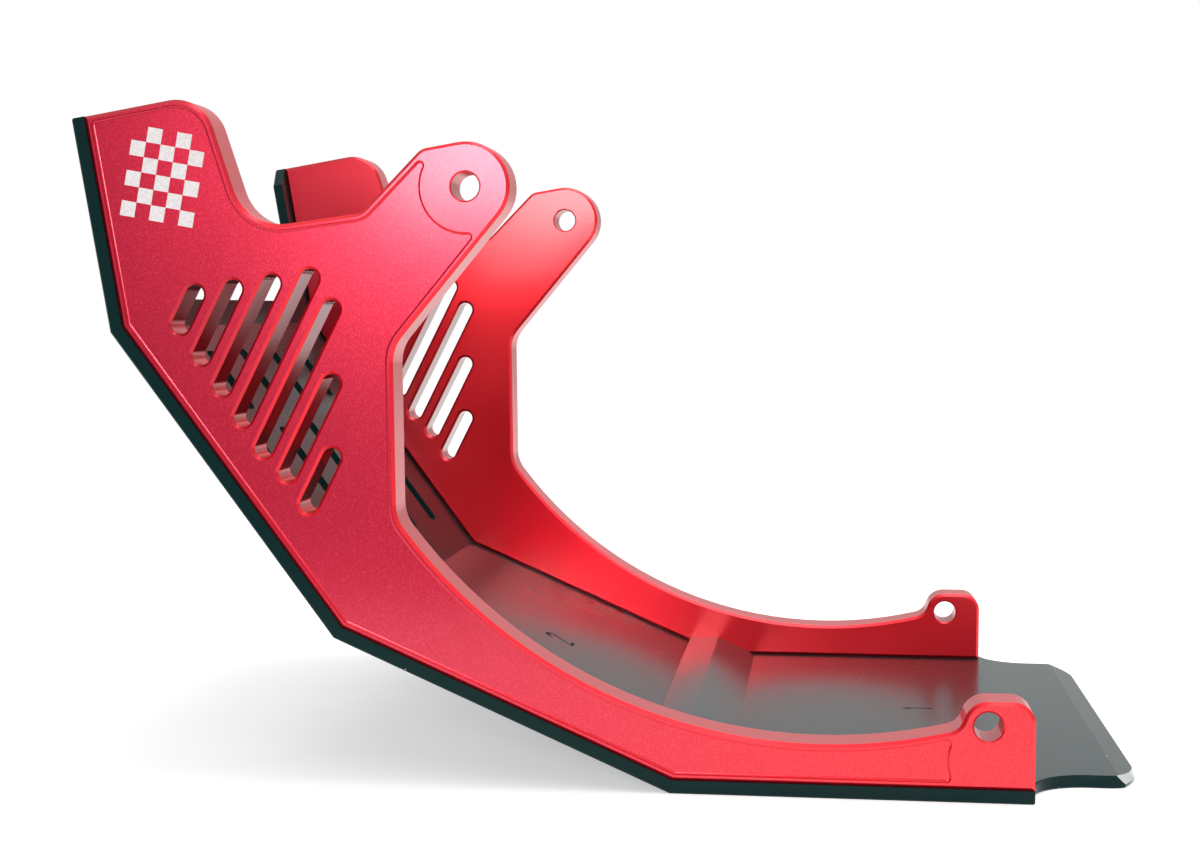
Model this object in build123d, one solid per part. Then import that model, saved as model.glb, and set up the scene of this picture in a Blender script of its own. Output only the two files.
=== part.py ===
from build123d import *
from math import acos, atan2, cos, degrees, hypot, radians, sin, sqrt, tan
import os

# Skid plate for a small motorcycle, in millimetres.
# Two pocketed side plates carry four mitred skid plates that wrap under and in front of the engine.
# +X is towards the rear wheel, +Z is up, and the part is symmetric about the XZ plane.
# The origin is the middle of the front bolt's axis, between the two upper ears.

# Overall layout, seen from the side
overall_width = 235.0
bolt_span_x = 154.8
bolt_span_z = 157.4
rear_bolt_inset = 13.6
rear_bolt_height = 18.6

# Skid plates: lengths along the inside face, and slopes from horizontal
skin = 4.0
plate_1_length = 106.0
plate_2_length = 109.5
plate_2_slope = 23.5
plate_3_length = 112.8
plate_3_slope = 53.2
plate_4_length = 64.5
plate_4_slope = 80.0
skin_edge_break = 0.5

# Side plates
side_thickness = 15.0
side_edge_break = 1.0
nose_length = 37.1
nose_corner = 12.0
throat_slope = 71.5
throat_fillet = 15.0
shelf_slope = 7.8
ear_radius = 13.3
ear_flat = 11.2
ear_ramp_slope = 46.0
ear_ramp_length = 26.26
ear_ramp_fillet = 5.0
strut_slope = 50.7
window_front = 21.2
window_slope = 91.0
window_corner = 12.0
sweep_radius = 157.0
sweep_low_from_rear = 62.4
rail_depth = 12.0
rear_ear_radius = 7.3
rear_ear_corner = 6.5
rear_ear_fillet = 6.0

# Bolt bores in the ears
bolt_bore = 8.5
bore_edge_break = 0.5

# Shallow pocket in each outer face
pocket_depth = 1.0
pocket_border = 1.7
pocket_floor_round = 0.8
pocket_corner = 1.5
ear_land = 13.5
rear_land = 13.0
rear_land_x = 12.0
rear_land_z = 8.0

# Slots through the side plates
slot_count = 7
slot_rib = 4.2
slot_edge_break = 0.9
slot_slope = 63.6
slot_low_run = 10.0
slot_low_margin = 14.8
slot_low_slope = 55.6
slot_shelf_margin = 17.1
slot_first_length = 10.1
slot_last_length = 15.8
slot_last_count = 2
slot_last_raise = 2.4
slot_rear_margin = 20.0

# Drain and mud slots in skid plate 3, in two staggered rows
mud_slot_width = 9.0
mud_slot_pitch = 35.0
mud_slot_corner = 2.5
mud_low_count = 5
mud_low_start = 16.0
mud_low_length = 53.3
mud_high_count = 4
mud_high_start = 78.0
mud_high_length = 24.3

# Notch in skid plate 4, between the two horns
notch_floor = 9.0
horn_width = 23.0
horn_cut_height = 7.0
notch_corner = 6.0

# Tail of skid plate 1, behind the side plates
tail_length = 33.5
tail_inset = 23.0
tail_fillet = 18.0
tail_corner = 9.0
tail_bevel_run = 6.5
tail_bevel_drop = 1.2
tail_cut_run = 7.2
tail_cut_reach = 18.0
tail_cut_radius = 40.0
tail_cut_slope = 57.0
tail_cut_lip = 1.2

# Joint bar over the seam of skid plates 1 and 2
bar_leg = 16.0
bar_front_leg = 11.6

# Countersunk socket screws: M5 into the side plates, M4 into the joint bar
m5_thread = 5.0
m5_head = 9.2
m5_length = 10.0
m5_socket = 3.0
m4_thread = 4.0
m4_head = 7.5
m4_length = 8.0
m4_socket = 2.5
socket_depth = 1.6
thread_clearance = 0.05
screw_end_room = 1.0
bar_screw_end_room = 0.1
screw_end_margin = 16.0
bar_screw_from_seam = 4.0
bar_screw_count = 4
bar_screw_end_margin = 24.0


def step(start, slope, length):
    """The point a length away from start, at a slope in degrees from +X."""
    return (start[0] + length * cos(radians(slope)), start[1] + length * sin(radians(slope)))


def meet(p, p_slope, q, q_slope):
    """Where a line through p meets a line through q."""
    px, pz = cos(radians(p_slope)), sin(radians(p_slope))
    qx, qz = cos(radians(q_slope)), sin(radians(q_slope))
    run = ((q[0] - p[0]) * qz - (q[1] - p[1]) * qx) / (px * qz - pz * qx)
    return (p[0] + run * px, p[1] + run * pz)


# Named points of the side view
front_bolt = (0.0, 0.0)
rear_bolt = (bolt_span_x, -bolt_span_z)
rear_x = rear_bolt[0] + rear_bolt_inset
floor_z = rear_bolt[1] - rear_bolt_height
rear_foot = (rear_x, floor_z)
seam_12 = step(rear_foot, 180.0, plate_1_length)
seam_23 = step(seam_12, 180.0 - plate_2_slope, plate_2_length)
seam_34 = step(seam_23, 180.0 - plate_3_slope, plate_3_length)
nose = step(seam_34, 180.0 - plate_4_slope, plate_4_length)
nose_slope = 90.0 - plate_4_slope
ear_top = step(front_bolt, 90.0 + nose_slope, ear_radius)
ear_left = step(ear_top, 180.0 + nose_slope, ear_flat)
shelf_end = step(ear_left, 180.0 + ear_ramp_slope, ear_ramp_length)
side_y = overall_width / 2
inner_y = side_y - side_thickness


def three_d(point, y=0.0):
    return (point[0], y, point[1])


def skid_plane(start, slope):
    """A skid plate's inside face: local X is the object's +Y, local Y runs up the plate."""
    normal = (sin(radians(slope)), 0, cos(radians(slope)))
    return Plane(origin=three_d(start), x_dir=(0, 1, 0), z_dir=normal)


def round_corner(sketch, point, radius):
    """Round the sketch's corner that lies nearest to a point."""
    corner = sketch.vertices().sort_by_distance((point[0], point[1], 0))[0]
    return fillet(corner, radius)


def bearing(start, end):
    return degrees(atan2(end[1] - start[1], end[0] - start[0])) % 360.0


def along(start, end, distance):
    return step(start, bearing(start, end), distance)


def circles_meet(centre_a, radius_a, centre_b, radius_b):
    """Where two circles cross, on the side reached anticlockwise from the line b to a."""
    apart = hypot(centre_a[0] - centre_b[0], centre_a[1] - centre_b[1])
    cosine = (radius_b**2 + apart**2 - radius_a**2) / (2 * radius_b * apart)
    return step(centre_b, bearing(centre_b, centre_a) + degrees(acos(cosine)), radius_b)


def side_outline():
    """The side plate's outline, from the rear foot round by the nose, the ear and the window."""
    brow = step(nose, nose_slope, nose_length)
    throat = meet(brow, -throat_slope, shelf_end, shelf_slope)
    ear_low = step(front_bolt, strut_slope - 90.0, ear_radius)
    ear_side = step(front_bolt, (nose_slope + strut_slope) / 2, ear_radius)
    # The sweep is one large arc, and a small fillet joins it to the round of the rear ear
    sweep = (rear_x - sweep_low_from_rear, floor_z + rail_depth + sweep_radius)
    sweep_low = (sweep[0], sweep[1] - sweep_radius)
    front_run = sweep[0] + window_front
    window_foot = (-window_front, sweep[1] - sqrt(sweep_radius**2 - front_run**2))
    window_top = meet(ear_low, strut_slope, window_foot, window_slope)
    ear_fillet = circles_meet(
        sweep, sweep_radius - rear_ear_fillet, rear_bolt, rear_ear_radius + rear_ear_fillet
    )
    fillet_start = along(sweep, ear_fillet, sweep_radius)
    fillet_end = along(rear_bolt, ear_fillet, rear_ear_radius)
    fillet_middle = step(
        ear_fillet, (bearing(ear_fillet, fillet_start) + bearing(ear_fillet, fillet_end)) / 2, rear_ear_fillet
    )
    rear_ear_side = step(rear_bolt, (bearing(rear_bolt, ear_fillet) + 90.0) / 2, rear_ear_radius)
    rear_ear_top = step(rear_bolt, 90.0, rear_ear_radius)
    rear_top = (rear_x, rear_ear_top[1])

    outline = make_face([
        Polyline(rear_foot, seam_12, seam_23, seam_34, nose, brow, throat, shelf_end, ear_left, ear_top),
        ThreePointArc(ear_top, ear_side, ear_low),
        Polyline(ear_low, window_top, window_foot),
        ThreePointArc(window_foot, sweep_low, fillet_start),
        ThreePointArc(fillet_start, fillet_middle, fillet_end),
        ThreePointArc(fillet_end, rear_ear_side, rear_ear_top),
        Polyline(rear_ear_top, rear_top, rear_foot),
    ])
    rounds = [
        (brow, nose_corner),
        (throat, throat_fillet),
        (shelf_end, ear_ramp_fillet),
        (ear_left, ear_ramp_fillet),
        (window_top, window_corner),
        (window_foot, window_corner),
        (rear_top, rear_ear_corner),
    ]
    for corner, radius in rounds:
        outline = round_corner(outline, corner, radius)
    return outline


def pocket_outline(outline):
    """The shallow pocket: the outline set in, less the round ear land and the rear land."""
    field = offset(outline, -pocket_border, kind=Kind.INTERSECTION)
    land = Pos(rear_x - rear_land_x, floor_z + rear_land_z) * Circle(rear_land)
    pocket = Sketch() + (field - Circle(ear_land) - land).faces().sort_by(SortBy.AREA)[-1]
    return offset(offset(pocket, -pocket_corner), pocket_corner)


def slot_rise(slope):
    """How far a line of that slope climbs along the slots, for each millimetre across them."""
    return tan(radians(slope - slot_slope + 90.0))


def slot_layout():
    """The slots' width, and the low and high end centre of each slot in the side view.

    The slots fill the wedge between skid plate 3 and the shelf, as far as a line before the window.
    The last ones start higher, and end on that line.
    """
    across = slot_slope - 90.0
    low_foot = step(step(seam_34, -plate_3_slope, slot_low_run), 90.0 - plate_3_slope, slot_low_margin)
    under_shelf = step(shelf_end, shelf_slope - 90.0, slot_shelf_margin)
    stop_x = -window_front - slot_rear_margin
    tip = meet(low_foot, -slot_low_slope, under_shelf, shelf_slope)
    stop = meet(low_foot, -slot_low_slope, (stop_x, 0.0), 90.0)
    tip_gap = slot_first_length / (slot_rise(shelf_slope) - slot_rise(-slot_low_slope))
    stop_gap = (slot_last_length + slot_last_raise) / (slot_rise(-slot_low_slope) - slot_rise(90.0))
    first = step(tip, across, tip_gap)
    last = meet(step(stop, across, -stop_gap), slot_slope, first, across)
    pitch = hypot(last[0] - first[0], last[1] - first[1]) / (slot_count - 1)

    ends = []
    for index in range(slot_count):
        axis = step(first, across, index * pitch)
        low = meet(axis, slot_slope, low_foot, -slot_low_slope)
        if index >= slot_count - slot_last_count:
            low = step(low, slot_slope, slot_last_raise)
        high = meet(axis, slot_slope, under_shelf, shelf_slope)
        if high[0] > stop_x:
            high = meet(axis, slot_slope, (stop_x, 0.0), 90.0)
        ends.append((low, high))
    return pitch - slot_rib, ends


def slot_shape(low, high, width):
    middle = ((low[0] + high[0]) / 2, (low[1] + high[1]) / 2)
    reach = hypot(high[0] - low[0], high[1] - low[1])
    return Pos(*middle) * Rot(0, 0, slot_slope) * SlotCenterToCenter(reach, width)


def chamfered_cut(shape, wide_shape, edge_break, outer_face):
    """A cut through a left side plate, chamfered at its inner face and at outer_face."""
    through = extrude(Plane.XZ.offset(inner_y) * shape, outer_face - inner_y)
    inside = extrude(Plane.XZ.offset(inner_y) * wide_shape, edge_break, taper=45)
    outside = extrude(Plane.XZ.offset(outer_face) * wide_shape, -edge_break, taper=45)
    return [through, inside, outside]


def screw_rows():
    """Screws along each skid plate: its seam, its slope and the distances up the plate."""
    plates = [
        (rear_foot, 0.0, plate_1_length, 3),
        (seam_12, plate_2_slope, plate_2_length, 3),
        (seam_23, plate_3_slope, plate_3_length, 3),
        (seam_34, plate_4_slope, plate_4_length, 2),
    ]
    rows = []
    for start, slope, length, count in plates:
        gap = (length - 2 * screw_end_margin) / (count - 1)
        rows.append((start, slope, [screw_end_margin + gap * index for index in range(count)]))
    return rows


def screw(thread, head, length, socket):
    """A countersunk socket screw along +Z, with its head flush at Z 0."""
    cone = (head - thread) / 2
    half = make_face(Polyline(
        (0, 0), (head / 2, 0), (thread / 2, cone), (thread / 2, length), (0, length), (0, 0)
    ))
    body = revolve(Plane.XZ * half, Axis.Z)
    return body - extrude(RegularPolygon(socket / 2, 6, major_radius=False), socket_depth)


def screw_hole(thread, head, length):
    """The countersunk hole for that screw, with clearance round its thread and room at its end."""
    radius = thread / 2 + thread_clearance
    cone = head / 2 - radius
    half = make_face(Polyline(
        (0, 0), (head / 2, 0), (radius, cone), (radius, length), (0, length), (0, 0)
    ))
    return revolve(Plane.XZ * half, Axis.Z)


def screw_places(start, slope, distances, y_places):
    """Screw locations on a skid plate's outside face, pointing inwards."""
    plane = skid_plane(start, slope)
    return [plane * Pos(y, distance, -skin) for distance in distances for y in y_places]


def outer_corner(seam, slope_a, slope_b):
    """The point outside a seam where the outside faces of its two skid plates meet."""
    middle = radians((slope_a + slope_b) / 2)
    depth = skin / cos(radians(slope_b - slope_a) / 2)
    return (seam[0] - depth * sin(middle), seam[1] - depth * cos(middle))


def skid_section(points):
    """A skid plate as its side-view section, run across the full width."""
    return extrude(Plane.XZ * make_face(Polyline(*points, points[0])), side_y, both=True)


def tail_cut():
    """What a slanted, slightly rounded cut takes off the tail's right corner, down to an upright lip."""
    widening = 1 / tan(radians(tail_cut_slope))
    side_end = (tail_end - tail_cut_run, tail_y)
    rear_end = (tail_end, tail_y - tail_cut_reach)
    centre = circles_meet(side_end, tail_cut_radius, rear_end, tail_cut_radius + tail_bevel_drop * widening)
    lip_depth = skin - tail_cut_lip
    lip_radius = tail_cut_radius + lip_depth * widening
    far_radius = 2 * tail_cut_radius
    section = make_face(Polyline(
        (tail_cut_radius - lip_depth * widening, lip_depth), (lip_radius, -lip_depth),
        (lip_radius, -2 * skin), (far_radius, -2 * skin), (far_radius, lip_depth),
        (tail_cut_radius - lip_depth * widening, lip_depth),
    ))
    turn = bearing(centre, (tail_end, tail_y)) - 30.0
    return Pos(*centre, floor_z) * Rot(0, 0, turn) * revolve(Plane.XZ * section, Axis.Z, revolution_arc=60.0)


def break_outer_edges(plate, slope):
    """Break the outside arrises of a skid plate, but not the edges at its seams."""
    outside = plate.faces().sort_by(Axis((0, 0, 0), (-sin(radians(slope)), 0, -cos(radians(slope)))))[-1]
    edges = [edge for edge in outside.edges() if abs(edge.center().Y) > 1.0]
    return chamfer(edges, skin_edge_break)


# Side plates, with the left one modelled and the right one mirrored
outline = side_outline()
side = extrude(Plane.XZ.offset(inner_y) * outline, side_thickness)
faces = side.faces().sort_by(Axis.Y)
side = chamfer(faces[0].edges() + faces[-1].edges(), side_edge_break)
side -= extrude(Plane.XZ.offset(side_y) * pocket_outline(outline), -pocket_depth)
pocket_y = -side_y + pocket_depth
pocket_floor = side.faces().filter_by(Axis.Y).filter_by(lambda face: abs(face.center().Y - pocket_y) < 0.01)
side = fillet(pocket_floor.edges(), pocket_floor_round)
slot_width, slots = slot_layout()
for low, high in slots:
    narrow = slot_shape(low, high, slot_width)
    wide = slot_shape(low, high, slot_width + 2 * slot_edge_break)
    side -= chamfered_cut(narrow, wide, slot_edge_break, side_y - pocket_depth)
for bolt in (front_bolt, rear_bolt):
    narrow = Pos(*bolt) * Circle(bolt_bore / 2)
    wide = Pos(*bolt) * Circle(bolt_bore / 2 + bore_edge_break)
    side -= chamfered_cut(narrow, wide, bore_edge_break, side_y)

# Skid plate 1, under the engine, with its tail
tail_end = rear_x + tail_length
seam_12_outer = outer_corner(seam_12, 0.0, plate_2_slope)
plate_1 = skid_section([
    seam_12,
    (tail_end - tail_bevel_run, floor_z),
    (tail_end, floor_z - tail_bevel_drop),
    (tail_end, floor_z - skin),
    seam_12_outer,
])
tail_y = side_y - tail_inset
front_end = seam_12_outer[0] - skin
tail_plan = make_face(Polyline(
    (front_end, -side_y), (rear_x, -side_y), (rear_x, -tail_y), (tail_end, -tail_y),
    (tail_end, tail_y), (rear_x, tail_y), (rear_x, side_y), (front_end, side_y), (front_end, -side_y),
))
for hand in (-1, 1):
    tail_plan = round_corner(tail_plan, (rear_x, hand * tail_y), tail_fillet)
    tail_plan = round_corner(tail_plan, (tail_end, hand * tail_y), tail_corner)
plate_1 &= extrude(Pos(0, 0, floor_z - 2 * skin) * tail_plan, 4 * skin)
plate_1 -= tail_cut()
plate_1 -= mirror(tail_cut(), Plane.XZ)
plate_1 = break_outer_edges(plate_1, 0.0)

# Skid plates 2 and 3, with the mud slots in plate 3
seam_23_outer = outer_corner(seam_23, plate_2_slope, plate_3_slope)
seam_34_outer = outer_corner(seam_34, plate_3_slope, plate_4_slope)
plate_2 = skid_section([seam_12, seam_12_outer, seam_23_outer, seam_23])
plate_2 = break_outer_edges(plate_2, plate_2_slope)
plate_3 = skid_section([seam_23, seam_23_outer, seam_34_outer, seam_34])
plate_3 = break_outer_edges(plate_3, plate_3_slope)
mud_rows = [
    (mud_low_count, mud_low_start, mud_low_length),
    (mud_high_count, mud_high_start, mud_high_length),
]
for count, start, length in mud_rows:
    cut = RectangleRounded(mud_slot_width, length, mud_slot_corner)
    for index in range(count):
        across = (index - (count - 1) / 2) * mud_slot_pitch
        place = skid_plane(seam_23, plate_3_slope) * Pos(across, start + length / 2)
        plate_3 -= extrude(place * cut, -2 * skin, both=True)

# Skid plate 4, with its notch between two horns
nose_outer = step(nose, 180.0 + nose_slope, skin)
plate_4 = skid_section([seam_34, seam_34_outer, nose_outer, nose])
notch_y = side_y - horn_width
notch_top = plate_4_length + skin
notch = make_face(Polyline(
    (-notch_y, notch_floor), (notch_y, notch_floor), (notch_y, plate_4_length - horn_cut_height),
    (inner_y, plate_4_length), (inner_y, notch_top), (-inner_y, notch_top), (-inner_y, plate_4_length),
    (-notch_y, plate_4_length - horn_cut_height), (-notch_y, notch_floor),
))
for hand in (-1, 1):
    notch = round_corner(notch, (hand * notch_y, notch_floor), notch_corner)
plate_4 -= extrude(skid_plane(seam_34, plate_4_slope) * notch, 2 * skin, both=True)
plate_4 = break_outer_edges(plate_4, plate_4_slope)

# Joint bar, a low rhombus that lies over the seam of skid plates 1 and 2
bar_rear = step(seam_12, 0.0, bar_leg)
bar_ridge = step(bar_rear, 180.0 - plate_2_slope, bar_leg)
bar_front = step(seam_12, 180.0 - plate_2_slope, bar_front_leg)
bar_shoulder = meet(bar_front, 90.0 - plate_2_slope, bar_ridge, 0.0)
bar_section = make_face(Polyline(seam_12, bar_rear, bar_ridge, bar_shoulder, bar_front, seam_12))
joint_bar = extrude(Plane.XZ * bar_section, inner_y, both=True)

# Screws, in one group of separate solids for each skid plate and side
skids = [plate_1, plate_2, plate_3, plate_4]
m5_screw = screw(m5_thread, m5_head, m5_length, m5_socket)
m5_hole = screw_hole(m5_thread, m5_head, m5_length + screw_end_room)
side_middle_y = inner_y + side_thickness / 2
screw_groups = {}
for number, (start, slope, distances) in enumerate(screw_rows()):
    for hand, name in ((-1, "left"), (1, "right")):
        places = screw_places(start, slope, distances, [hand * side_middle_y])
        for place in places:
            skids[number] -= place * m5_hole
            if hand == -1:
                side -= place * m5_hole
        screw_groups[f"{name}_screws_plate_{number + 1}"] = [place * m5_screw for place in places]

m4_screw = screw(m4_thread, m4_head, m4_length, m4_socket)
m4_hole = screw_hole(m4_thread, m4_head, m4_length + bar_screw_end_room)
bar_reach = inner_y - bar_screw_end_margin
bar_ys = [-bar_reach + 2 * bar_reach * index / (bar_screw_count - 1) for index in range(bar_screw_count)]
bar_seats = [(seam_12, 0.0, -bar_screw_from_seam), (seam_12, plate_2_slope, bar_screw_from_seam)]
for number, (start, slope, distance) in enumerate(bar_seats):
    places = screw_places(start, slope, [distance], bar_ys)
    for place in places:
        skids[number] -= place * m4_hole
        joint_bar -= place * m4_hole
    screw_groups[f"bar_screws_plate_{number + 1}"] = [place * m4_screw for place in places]

nodes = {
    "left_side_plate": side,
    "right_side_plate": mirror(side, Plane.XZ),
    "skid_plate_1": skids[0],
    "skid_plate_2": skids[1],
    "skid_plate_3": skids[2],
    "skid_plate_4": skids[3],
    "joint_bar": joint_bar,
}
for name, solids in screw_groups.items():
    nodes[name] = Compound(children=solids)

os.makedirs("parts", exist_ok=True)
for name, shape in nodes.items():
    export_step(shape, f"parts/{name}.step")
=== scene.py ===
import math

import bpy
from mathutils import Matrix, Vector


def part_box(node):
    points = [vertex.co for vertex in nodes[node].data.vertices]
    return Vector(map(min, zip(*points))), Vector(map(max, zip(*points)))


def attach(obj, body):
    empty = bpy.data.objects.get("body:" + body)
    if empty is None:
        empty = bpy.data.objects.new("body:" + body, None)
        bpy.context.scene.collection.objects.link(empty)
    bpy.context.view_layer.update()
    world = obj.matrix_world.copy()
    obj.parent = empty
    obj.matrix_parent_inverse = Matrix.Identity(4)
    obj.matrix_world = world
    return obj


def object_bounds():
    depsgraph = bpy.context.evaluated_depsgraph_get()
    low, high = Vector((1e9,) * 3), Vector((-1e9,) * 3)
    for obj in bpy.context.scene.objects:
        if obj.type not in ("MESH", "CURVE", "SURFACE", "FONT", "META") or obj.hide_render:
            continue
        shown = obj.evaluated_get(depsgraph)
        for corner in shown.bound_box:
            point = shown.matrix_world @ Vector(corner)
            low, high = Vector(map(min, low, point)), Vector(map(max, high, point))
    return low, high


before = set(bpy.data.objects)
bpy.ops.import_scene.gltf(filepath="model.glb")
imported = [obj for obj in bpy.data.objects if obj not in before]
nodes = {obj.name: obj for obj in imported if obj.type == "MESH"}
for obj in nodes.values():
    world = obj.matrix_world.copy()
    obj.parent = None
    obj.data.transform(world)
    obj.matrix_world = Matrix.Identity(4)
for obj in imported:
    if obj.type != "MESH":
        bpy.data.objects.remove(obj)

# The frame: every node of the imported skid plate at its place, in metres.
# +X is towards the rear wheel, +Z is up, and the origin is on the front bolts' axis.
cad_box = [list(corner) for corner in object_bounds()]


# Side plates: 15 mm aluminium plate, milled to shape, pocketed and chamfered, then anodised red.
# The outer face is finely pebbled, and the inner face, the bevels and the cut walls are smooth.
# Countersunk screws through the skid plates hold them by their edges.

class Shade:
    """A value in a finish, so that the finish can be written as sums and products of masks."""

    def __init__(self, tree, socket=None):
        self.tree = tree
        self.socket = socket

    def feed(self, node, sockets):
        """Set a node's sockets to values, or link them to other shades."""
        for key, value in sockets.items():
            if isinstance(value, Shade):
                self.tree.links.new(value.socket, node.inputs[key])
            else:
                node.inputs[key].default_value = value

    def node(self, kind, settings={}, sockets={}, output=0):
        """Add any node: its settings first, then its sockets, and return one of its outputs."""
        made = self.tree.nodes.new(kind)
        for name, value in settings.items():
            setattr(made, name, value)
        self.feed(made, sockets)
        return Shade(self.tree, made.outputs[output])

    def maths(self, operation, a, b=0.0):
        return self.node("ShaderNodeMath", {"operation": operation}, {0: a, 1: b})

    def __add__(self, other):
        return self.maths("ADD", self, other)

    def __sub__(self, other):
        return self.maths("SUBTRACT", self, other)

    def __rsub__(self, other):
        return self.maths("SUBTRACT", other, self)

    def __mul__(self, other):
        return self.maths("MULTIPLY", self, other)

    def __abs__(self):
        return self.maths("ABSOLUTE", self)

    __radd__ = __add__
    __rmul__ = __mul__

    def either(self, other):
        """The larger of two masks."""
        return self.maths("MAXIMUM", self, other)

    def rise(self, low, high):
        """0 below low, 1 above high, and smooth between them."""
        spans = {"Value": self, "From Min": low, "From Max": high}
        return self.node("ShaderNodeMapRange", {"interpolation_type": "SMOOTHSTEP"}, spans)

    def blend(self, below, above):
        """The colour below where this is 0, and the colour above where it is 1."""
        return self.node("ShaderNodeMix", {"data_type": "RGBA"}, {0: self, 6: below, 7: above}, 2)

    def place(self):
        """Where a point of the piece is."""
        return self.node("ShaderNodeTexCoord", output="Object")

    def facing(self):
        """Which way the piece's surface faces there."""
        return self.node("ShaderNodeTexCoord", output="Normal")

    def part(self, axis):
        """The X, Y or Z of a place or a direction."""
        return self.node("ShaderNodeSeparateXYZ", {}, {"Vector": self}, axis)

    def grain(self, place, scale, detail=2.0, stretch=(1.0, 1.0, 1.0)):
        """Fine noise over the piece, with scale in grains to the metre."""
        turned = self.node("ShaderNodeMapping", {}, {"Vector": place, "Scale": stretch})
        noise = {"Vector": turned, "Scale": scale, "Detail": detail}
        return self.node("ShaderNodeTexNoise", {}, noise)

    def relief(self, height, strength, depth):
        """Bumps of that height, for a surface's Normal."""
        bump = {"Height": height, "Strength": strength, "Distance": depth}
        return self.node("ShaderNodeBump", {}, bump)


def new_finish(name, sockets):
    """A finish with those fixed sockets on its surface, and a blank shade to write it with."""
    finish = bpy.data.materials.new(name)
    finish.use_nodes = True
    surface = finish.node_tree.nodes["Principled BSDF"]
    blank = Shade(finish.node_tree)
    blank.feed(surface, sockets)
    return finish, surface, blank


millimetre = 0.001
outer_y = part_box("right_side_plate")[1].y
pocket_depth = 1.0 * millimetre
outer_skin = (4 * pocket_depth, 6 * pocket_depth)

deep_red = (0.88, 0.008, 0.022, 1.0)
# The darker reds at the nose, on the outer and the inner face, are painted shade
painted_shade_nose_red = (0.65, 0.006, 0.042, 1.0)
rear_red = (0.78, 0.007, 0.018, 1.0)
painted_shade_inner_nose_red = (0.55, 0.005, 0.022, 1.0)
speckle_red = (0.95, 0.06, 0.12, 1.0)
cut_red = (0.62, 0.016, 0.026, 1.0)
# Painted shade: near black on the downward walls in the slots
painted_shade_slot_red = (0.20, 0.006, 0.012, 1.0)

# Where one finish gives way to the next, and where painted shade begins: by X along the plate, and
# by the way a surface faces
nose_shade_to_rear = (-30 * millimetre, 150 * millimetre)
inner_nose_shade_end = (-85 * millimetre, -45 * millimetre)
slots_end = (-40 * millimetre, -30 * millimetre)
flat_facing = (0.80, 0.97)
wall_facing = (0.25, 0.55)
overhang_facing = (-0.40, -0.10)

pebbles = 2100.0
speckle_spread = (0.48, 0.66)
speckle_strength = 0.34
clouds = 30.0
cutter_lines = 900.0
through_the_plate = (1.0, 0.02, 1.0)
relief_strength = 0.6
relief_depth = 0.03 * millimetre

red, surface, blank = new_finish("red_anodised_aluminium", {
    "Metallic": 0.66, "Coat Roughness": 0.16, "Coat IOR": 1.6,
})
place = blank.place()
along = place.part("X")
depth = outer_y - abs(place.part("Y"))
sideways = abs(blank.facing().part("Y"))
flat = sideways.rise(*flat_facing)
outside = flat * (1 - depth.rise(*outer_skin))
wall = 1 - sideways.rise(*wall_facing)
downward = 1 - blank.facing().part("Z").rise(*overhang_facing)
shaded_overhang = wall * downward * (1 - along.rise(*slots_end))

pebble = blank.grain(place, pebbles, detail=3.0)
cloud = blank.grain(place, clouds)
lines = blank.grain(place, cutter_lines, stretch=through_the_plate)
speckle = pebble.rise(*speckle_spread) * speckle_strength
# The outer face's red darkens towards the nose with painted shade, and the inner face's does too
pebbled = speckle.blend(along.rise(*nose_shade_to_rear).blend(painted_shade_nose_red, rear_red), speckle_red)
inner = along.rise(*inner_nose_shade_end).blend(painted_shade_inner_nose_red, deep_red)
# The cut walls keep their own red, and the downward walls in the slots get painted shade
cut = shaded_overhang.blend(cut_red, painted_shade_slot_red)
blank.feed(surface, {
    "Base Color": wall.blend(outside.blend(inner, pebbled), cut),
    "Roughness": 0.33 - 0.05 * outside + 0.03 * wall - 0.20 * shaded_overhang + 0.06 * (cloud - 0.5),
    "Coat Weight": (0.32 + 0.26 * flat) * (1 - shaded_overhang),
    "Normal": blank.relief(outside * pebble + 0.5 * wall * lines, relief_strength, relief_depth),
})
for name in ("left_side_plate", "right_side_plate"):
    nodes[name].material_slots[0].material = red


# Etched mark: a plain slanted chequer, burnt white into the floor of each pocket near the nose.
# It is a field of small tiles that stand a hair above the floor.
# The same tree lays out the tiles of both plates.

tile = 4.58 * millimetre
tile_pitch = 4.6 * millimetre
tile_columns = 5
tile_rows = 6
tile_height = 0.03 * millimetre
tile_middle = 0.2 * tile_height
mark_x = -92.5 * millimetre
mark_z = 3.5 * millimetre
mark_turn = math.radians(-10.0)

burn_grains = 1500.0
pale_burn = (0.80, 0.72, 0.72, 1.0)
white_burn = (0.93, 0.90, 0.90, 1.0)

white, surface, blank = new_finish("etched_white", {"Roughness": 0.6, "Specular IOR Level": 0.3})
burn = blank.grain(blank.place(), burn_grains, detail=3.0)
blank.feed(surface, {
    "Base Color": burn.rise(0.30, 0.70).blend(pale_burn, white_burn),
    "Normal": blank.relief(burn, 0.3, 0.01 * millimetre),
})

chequer = bpy.data.node_groups.new("chequer", "GeometryNodeTree")
for name, kind in (("Tile", "Float"), ("Pitch", "Float"), ("Height", "Float"),
                   ("Columns", "Int"), ("Rows", "Int"), ("Finish", "Material")):
    chequer.interface.new_socket(name, in_out="INPUT", socket_type=f"NodeSocket{kind}")
chequer.interface.new_socket("Tiles", in_out="OUTPUT", socket_type="NodeSocketGeometry")
tree = Shade(chequer)
inputs = chequer.nodes.new("NodeGroupInput")
given = {socket.name: Shade(chequer, socket) for socket in inputs.outputs if socket.name}

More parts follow.
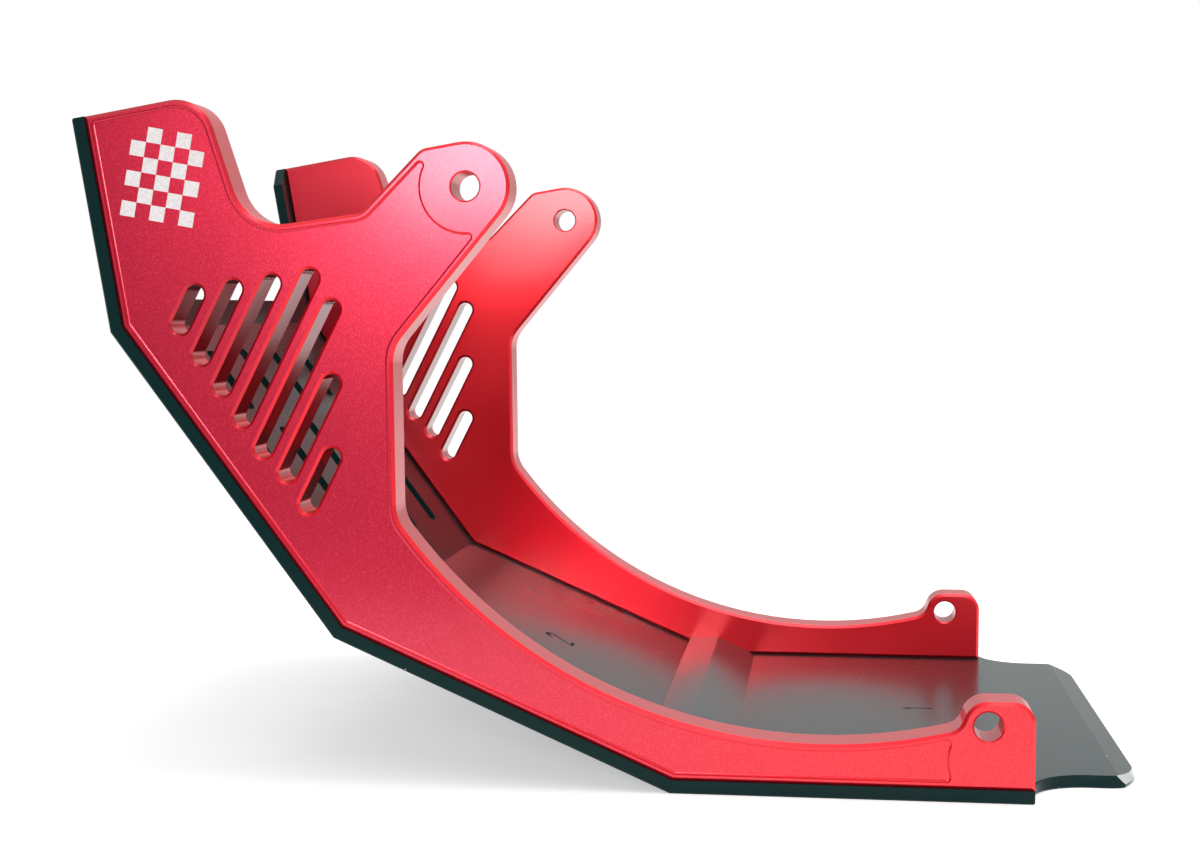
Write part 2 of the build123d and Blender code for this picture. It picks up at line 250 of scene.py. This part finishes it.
field = tree.node("GeometryNodeMeshGrid", {}, {
    "Size X": given["Pitch"] * (given["Columns"] - 1), "Vertices X": given["Columns"],
    "Size Y": given["Pitch"] * (given["Rows"] - 1), "Vertices Y": given["Rows"],
})
number = tree.node("GeometryNodeInputIndex")
column = tree.maths("FLOOR", tree.maths("DIVIDE", number, given["Rows"]))
row = tree.maths("MODULO", number, given["Rows"])
even = tree.maths("COMPARE", tree.maths("MODULO", column + row, 2.0), 0.0)
tile_size = tree.node("ShaderNodeCombineXYZ", {}, {
    "X": given["Tile"], "Y": given["Tile"], "Z": given["Height"],
})
block = tree.node("GeometryNodeMeshCube", {}, {"Size": tile_size})
laid = tree.node("GeometryNodeInstanceOnPoints", {}, {
    "Points": field, "Selection": even, "Instance": block,
})
solid = tree.node("GeometryNodeRealizeInstances", {}, {"Geometry": laid})
done = tree.node("GeometryNodeSetMaterial", {}, {"Geometry": solid, "Material": given["Finish"]})
tree.feed(chequer.nodes.new("NodeGroupOutput"), {"Tiles": done})


def made_by(group, values, name):
    """Run a Geometry Nodes tree with those inputs, and keep its result as a plain mesh."""
    carrier = bpy.data.objects.new(name, bpy.data.meshes.new(name))
    bpy.context.scene.collection.objects.link(carrier)
    modifier = carrier.modifiers.new(name, "NODES")
    modifier.node_group = group
    for socket in group.interface.items_tree:
        if socket.in_out == "INPUT":
            modifier[socket.identifier] = values[socket.name]
    ready = carrier.evaluated_get(bpy.context.evaluated_depsgraph_get())
    result = bpy.data.meshes.new_from_object(ready)
    carrier.modifiers.clear()
    carrier.data = result
    return carrier


tile_values = {
    "Tile": tile, "Pitch": tile_pitch, "Height": tile_height,
    "Columns": tile_columns, "Rows": tile_rows, "Finish": white,
}
for side, hand in (("left", -1.0), ("right", 1.0)):
    mark = made_by(chequer, tile_values, f"{side}_chequer_mark")
    for vertex in mark.data.vertices:
        u, v, lift = vertex.co
        x = mark_x + u * math.cos(mark_turn) - v * math.sin(mark_turn)
        y = hand * (outer_y - pocket_depth + tile_middle + lift)
        z = mark_z + u * math.sin(mark_turn) + v * math.cos(mark_turn)
        vertex.co = (x, y, z)
    # Laid on the right side plate, the tree's tiles are seen in a mirror, inside out
    if hand > 0:
        mark.data.flip_normals()
    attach(mark, "root")


# Skid plates: 4 mm aluminium sheet, cut and mitred, then anodised satin black.
# Countersunk screws from outside hold each one, and the tail reaches behind the side plates.
# The tail's slanted cuts are bright, it has faint scuffs, and a few arrises are nicked.

black_dye = (0.0040, 0.0230, 0.0230, 1.0)
worn_dye = (0.026, 0.050, 0.050, 1.0)
bare_metal = (0.72, 0.74, 0.72, 1.0)
bare_metallic = 0.9
tail_start = (165.0 * millimetre, 166.0 * millimetre)
above_upright = (0.20, 0.30)
below_level = (0.85, 0.95)

fine_grains = 1800.0
dye_clouds = 22.0
scuffs = 200.0
along_the_rub = (1.0, 0.15, 1.0)
scuff_spread = (0.50, 0.80)
scuff_strength = 0.3
nick_raggedness = 0.9 * millimetre
nick_core = 0.2
nicks = [
    ((0.0762, -0.1175, -0.1755), 0.6 * millimetre),
    ((-0.0184, -0.1175, -0.1446), 0.5 * millimetre),
    ((0.1955, -0.0681, -0.1760), 0.8 * millimetre),
]


def black_anodise(name, roughness):
    """Satin black, scuffed and cut bright at the tail, with nicks at the named places."""
    finish, surface, blank = new_finish(name, {
        "Specular IOR Level": 0.04, "Coat Weight": 0.92, "Coat Roughness": 0.20, "Coat IOR": 1.15,
    })
    place = blank.place()
    slant = blank.facing().part("Z")
    tail = place.part("X").rise(*tail_start)
    fine = blank.grain(place, fine_grains)
    cloud = blank.grain(place, dye_clouds, detail=3.0)
    rub = blank.grain(place, scuffs, detail=3.0, stretch=along_the_rub)
    scuff = tail * rub.rise(*scuff_spread) * scuff_strength
    bare = tail * slant.rise(*above_upright) * (1 - slant.rise(*below_level))
    for centre, radius in nicks:
        apart = {0: place, 1: centre}
        gap = blank.node("ShaderNodeVectorMath", {"operation": "DISTANCE"}, apart, "Value")
        ragged_gap = gap + nick_raggedness * (fine - 0.3)
        bare = bare.either(1 - ragged_gap.rise(nick_core * radius, radius))
    blank.feed(surface, {
        "Base Color": bare.blend(scuff.blend(black_dye, worn_dye), bare_metal),
        "Metallic": bare * bare_metallic,
        "Roughness": roughness + 0.05 * (cloud - 0.5) + 0.10 * scuff,
        "Normal": blank.relief(fine, 0.12, 0.01 * millimetre),
    })
    return finish


sheet_black = black_anodise("black_anodised_sheet", roughness=0.27)
for name in ("skid_plate_1", "skid_plate_2", "skid_plate_3", "skid_plate_4"):
    nodes[name].material_slots[0].material = sheet_black


# Plate numbers: a 1 and a 2, laser-marked on the inside of the first two skid plates.
# They tell the fitter the order of the plates, and are drawn with one round stroke.
# The strokes are matt, so they look darker than the sheet.

number_height = 10.0 * millimetre
stroke_width = 1.5 * millimetre
stroke_height = 0.05 * millimetre

# The seam of plates 1 and 2, and how far each figure's foot is from it along its plate
seam = Vector((62.4 * millimetre, 0.0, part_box("joint_bar")[0].z))
foot_1_from_seam = 82.2 * millimetre
foot_2_from_seam = 49.6 * millimetre
plate_2_slope = math.radians(23.5)
forwards = Vector((-1.0, 0.0, 0.0))
rightwards = Vector((0.0, 1.0, 0.0))
up_plate_2 = Vector((-math.cos(plate_2_slope), 0.0, math.sin(plate_2_slope)))

# The strokes of the two figures, in parts of their height: to the right, and up
bow_radius = 0.26
bow_right, bow_up = 0.02, 0.72
bow = [(bow_right + bow_radius * (1 - math.cos(turn)), bow_up + bow_radius * math.sin(turn))
       for turn in [math.radians(degrees) for degrees in range(0, 200, 20)]]
figures = [
    ("1", [(-0.20, 0.76), (0.0, 1.0), (0.0, 0.0)], seam - foot_1_from_seam * forwards, forwards),
    ("2", bow + [(0.0, 0.0), (0.56, 0.0)], seam + foot_2_from_seam * up_plate_2, up_plate_2),
]
dark_ink = (0.003, 0.006, 0.006, 1.0)
pale_ink = (0.010, 0.016, 0.016, 1.0)

ink, surface, blank = new_finish("laser_marked_black", {
    "Roughness": 0.85, "Specular IOR Level": 0.08,
})
burn = blank.grain(blank.place(), burn_grains, detail=3.0)
blank.feed(surface, {"Base Color": burn.blend(dark_ink, pale_ink)})

for digit, stroke, foot, upwards in figures:
    pen = bpy.data.curves.new(f"plate_number_{digit}", "CURVE")
    pen.dimensions = "3D"
    pen.bevel_depth = stroke_width / 2
    pen.bevel_resolution = 2
    pen.use_fill_caps = True
    line = pen.splines.new("POLY")
    line.points.add(len(stroke) - 1)
    middle = max(right for right, up in stroke) / 2
    for point, (right, up) in zip(line.points, stroke):
        point.co = ((right - middle) * number_height, up * number_height, 0.0, 1.0)
    drawn = bpy.data.objects.new(pen.name, pen)
    bpy.context.scene.collection.objects.link(drawn)
    ready = drawn.evaluated_get(bpy.context.evaluated_depsgraph_get())
    mesh = bpy.data.meshes.new_from_object(ready)
    bpy.data.objects.remove(drawn)
    # The round stroke is flattened, and laid on its plate with the figure's top to the front
    outwards = rightwards.cross(upwards)
    for vertex in mesh.vertices:
        u, v, lift = vertex.co
        flattened = lift * stroke_height / stroke_width
        vertex.co = foot + rightwards * u + upwards * v + outwards * flattened
    mesh.materials.clear()
    mesh.materials.append(ink)
    number = bpy.data.objects.new(pen.name, mesh)
    bpy.context.scene.collection.objects.link(number)
    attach(number, "root")


# Joint bar: a low black bar, milled from solid, that lies over the seam of the first two plates.
# Countersunk screws through both plates pull them tight against it.
# Its faces are a little smoother than the sheet.

nodes["joint_bar"].material_slots[0].material = black_anodise("black_anodised_bar", roughness=0.25)


# Screws: countersunk socket screws of blackened steel, turned and rolled, driven from outside.
# They hold the skid plates to the side plates and to the joint bar.

oil_patches = 400.0
dark_steel = (0.035, 0.036, 0.040, 1.0)
pale_steel = (0.060, 0.062, 0.068, 1.0)

steel, surface, blank = new_finish("blackened_steel", {"Metallic": 0.85})
oil = blank.grain(blank.place(), oil_patches, detail=3.0)
blank.feed(surface, {
    "Base Color": oil.rise(0.35, 0.65).blend(dark_steel, pale_steel),
    "Roughness": 0.34 + 0.12 * oil,
    "Normal": blank.relief(oil, 0.1, 0.01 * millimetre),
})
for name in nodes:
    if "_screws_" in name:
        nodes[name].material_slots[0].material = steel


# Studio: a white paper floor, a white tent round it, and three lamps.
# The tent is bright at the roof and the right, and dimmer at the left and the open front.
# The camera sees tent and floor as white, and metal sees the tent's back at part of that.

# The paper ends short of the camera
ground_z = cad_box[0][2]
reach = 3.0
front_reach = 0.45
paper_grey = (0.80, 0.80, 0.80, 1.0)
full_white = (1.0, 1.0, 1.0, 1.0)
paper_glow = 0.45

floor_mesh = bpy.data.meshes.new("floor")
floor_mesh.from_pydata([
    (-reach, -front_reach, ground_z), (reach, -front_reach, ground_z),
    (reach, reach, ground_z), (-reach, reach, ground_z),
], [], [(0, 1, 2, 3)])
floor = bpy.data.objects.new("floor", floor_mesh)
bpy.context.scene.collection.objects.link(floor)

paper = bpy.data.materials.new("white_paper")
paper.use_nodes = True
paper.node_tree.nodes.clear()
blank = Shade(paper.node_tree)
# The glow is added to the light that falls on the paper, so the object's shadow stays
to_camera = blank.node("ShaderNodeLightPath", output="Is Camera Ray")
to_metal = blank.node("ShaderNodeLightPath", output="Is Glossy Ray")
to_glass = blank.node("ShaderNodeLightPath", output="Is Transmission Ray")
matt = blank.node("ShaderNodeBsdfDiffuse", {}, {"Color": paper_grey})
glow = blank.node("ShaderNodeEmission", {}, {"Color": full_white, "Strength": paper_glow})
both = blank.node("ShaderNodeAddShader", {}, {0: matt, 1: glow})
seen = to_camera.either(to_metal).either(to_glass)
shown = blank.node("ShaderNodeMixShader", {}, {0: seen, 1: matt, 2: both})
blank.feed(paper.node_tree.nodes.new("ShaderNodeOutputMaterial"), {"Surface": shown})
floor_mesh.materials.append(paper)

dimmest = 0.20
bright_way = (0.40, 0.20, 0.90)
bright_edge = (-0.10, 0.90)
back_edge = (0.05, 0.35)
back_in_metal = 0.65

tent = bpy.data.worlds.new("tent")
bpy.context.scene.world = tent
tent.use_nodes = True
tent.node_tree.nodes.clear()
blank = Shade(tent.node_tree)
to_camera = blank.node("ShaderNodeLightPath", output="Is Camera Ray")
to_metal = blank.node("ShaderNodeLightPath", output="Is Glossy Ray")
to_glass = blank.node("ShaderNodeLightPath", output="Is Transmission Ray")
towards = blank.node("ShaderNodeTexCoord", output="Generated")
lean = blank.node("ShaderNodeVectorMath", {"operation": "DOT_PRODUCT"},
                  {0: towards, 1: bright_way}, "Value")
lit = dimmest + (1 - dimmest) * lean.rise(*bright_edge)
back = towards.part("Y").rise(*back_edge)
level = lit.either(to_camera.either(to_glass)).either(back_in_metal * back * to_metal)
cloth = blank.node("ShaderNodeBackground", {}, {"Color": full_white, "Strength": level})
blank.feed(tent.node_tree.nodes.new("ShaderNodeOutputWorld"), {"Surface": cloth})


def soft_box(name, place, target, width, height, power, spread=180.0):
    """A rectangular lamp at a place, turned to a target, with its light's spread in degrees."""
    lamp = bpy.data.lights.new(name, "AREA")
    lamp.shape = "RECTANGLE"
    lamp.size = width
    lamp.size_y = height
    lamp.energy = power
    lamp.spread = math.radians(spread)
    box = bpy.data.objects.new(name, lamp)
    bpy.context.scene.collection.objects.link(box)
    box.location = place
    box.rotation_euler = (Vector(target) - Vector(place)).to_track_quat("-Z", "Y").to_euler()


soft_box("roof_lamp", place=(0.25, 0.15, 0.95), target=(0.04, 0.0, -0.08),
         width=0.9, height=0.7, power=6.4)
soft_box("front_lamp", place=(-0.118, -1.05, 0.182), target=(-0.01, -0.1, 0.0),
         width=0.23, height=0.28, power=3.8)
# The side lamp makes the bright streak low on the inner face of the right side plate
soft_box("side_lamp", place=(0.35, -0.75, 0.30), target=(0.014, 0.10, -0.142),
         width=0.06, height=0.06, power=0.026, spread=5.5)


# Camera: in front of the left side plate, a little to the rear and a little above the middle.
# Its place, turn and lens are those of the photograph.

eye = bpy.data.cameras.new("camera")
eye.lens = 58.76
eye.sensor_width = 36.0
eye.clip_start = 0.01
camera = bpy.data.objects.new("camera", eye)
bpy.context.scene.collection.objects.link(camera)
camera.location = (0.10753, -0.6912, -0.03646)
camera.rotation_euler = (math.radians(86.544), math.radians(-0.170), math.radians(6.678))
bpy.context.scene.camera = camera
bpy.context.scene.view_settings.view_transform = "Standard"
